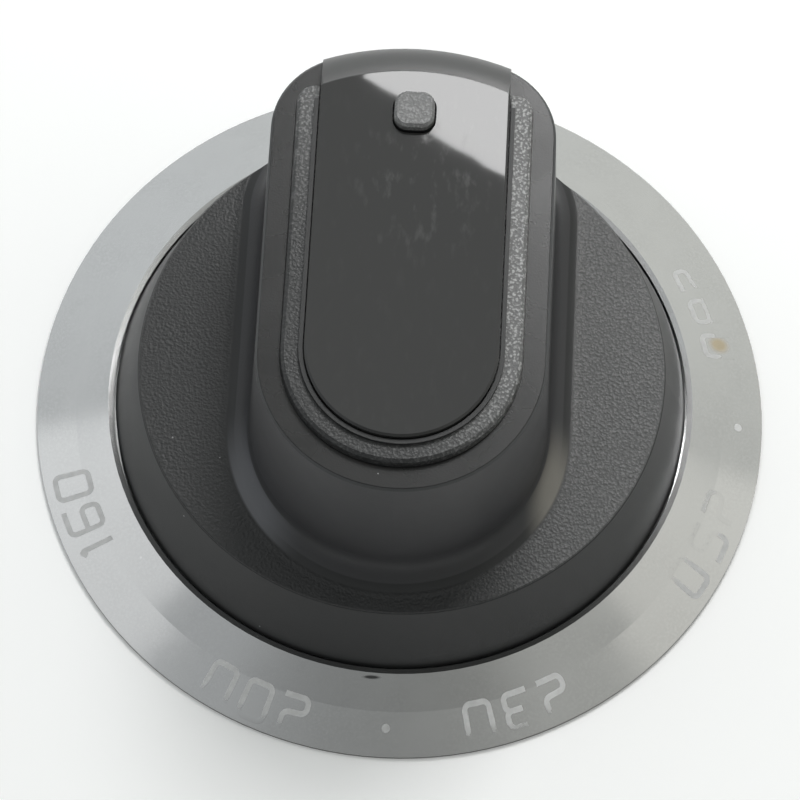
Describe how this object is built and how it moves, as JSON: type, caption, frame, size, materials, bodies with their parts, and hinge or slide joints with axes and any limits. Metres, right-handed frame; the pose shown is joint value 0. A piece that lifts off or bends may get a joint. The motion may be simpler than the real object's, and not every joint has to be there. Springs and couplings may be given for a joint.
{
  "type": "oven control knob",
  "caption": "Push-on oven control knob: a stepped black pointer grip with a glossy inlay on a round plinth, in a silver dial skirt with a temperature scale.",
  "frame": {"origin": "on the turning axis, level with the underside of the skirt's rim, which faces the oven's panel", "axes": "+Z along the turning axis, out of the panel; +Y towards the pointer end of the grip; +X to the right of a user who sees the pointer upwards"},
  "size_m": [0.055, 0.055, 0.025],
  "materials": {
    "black_moulding": "satin black, finely grained on the plinth's floor and the rail",
    "silver_coat": "satin silver coat on plastic, with worn pale grey figures",
    "gloss_inlay": "high gloss black, dusty",
    "ring_steel": "bright spring strip"
  },
  "bodies": {
    "root": {"knob_body": "black_moulding", "dial_skirt": "silver_coat", "grip_plate": "gloss_inlay", "boss_ring": "ring_steel"}
  },
  "joints": []
}
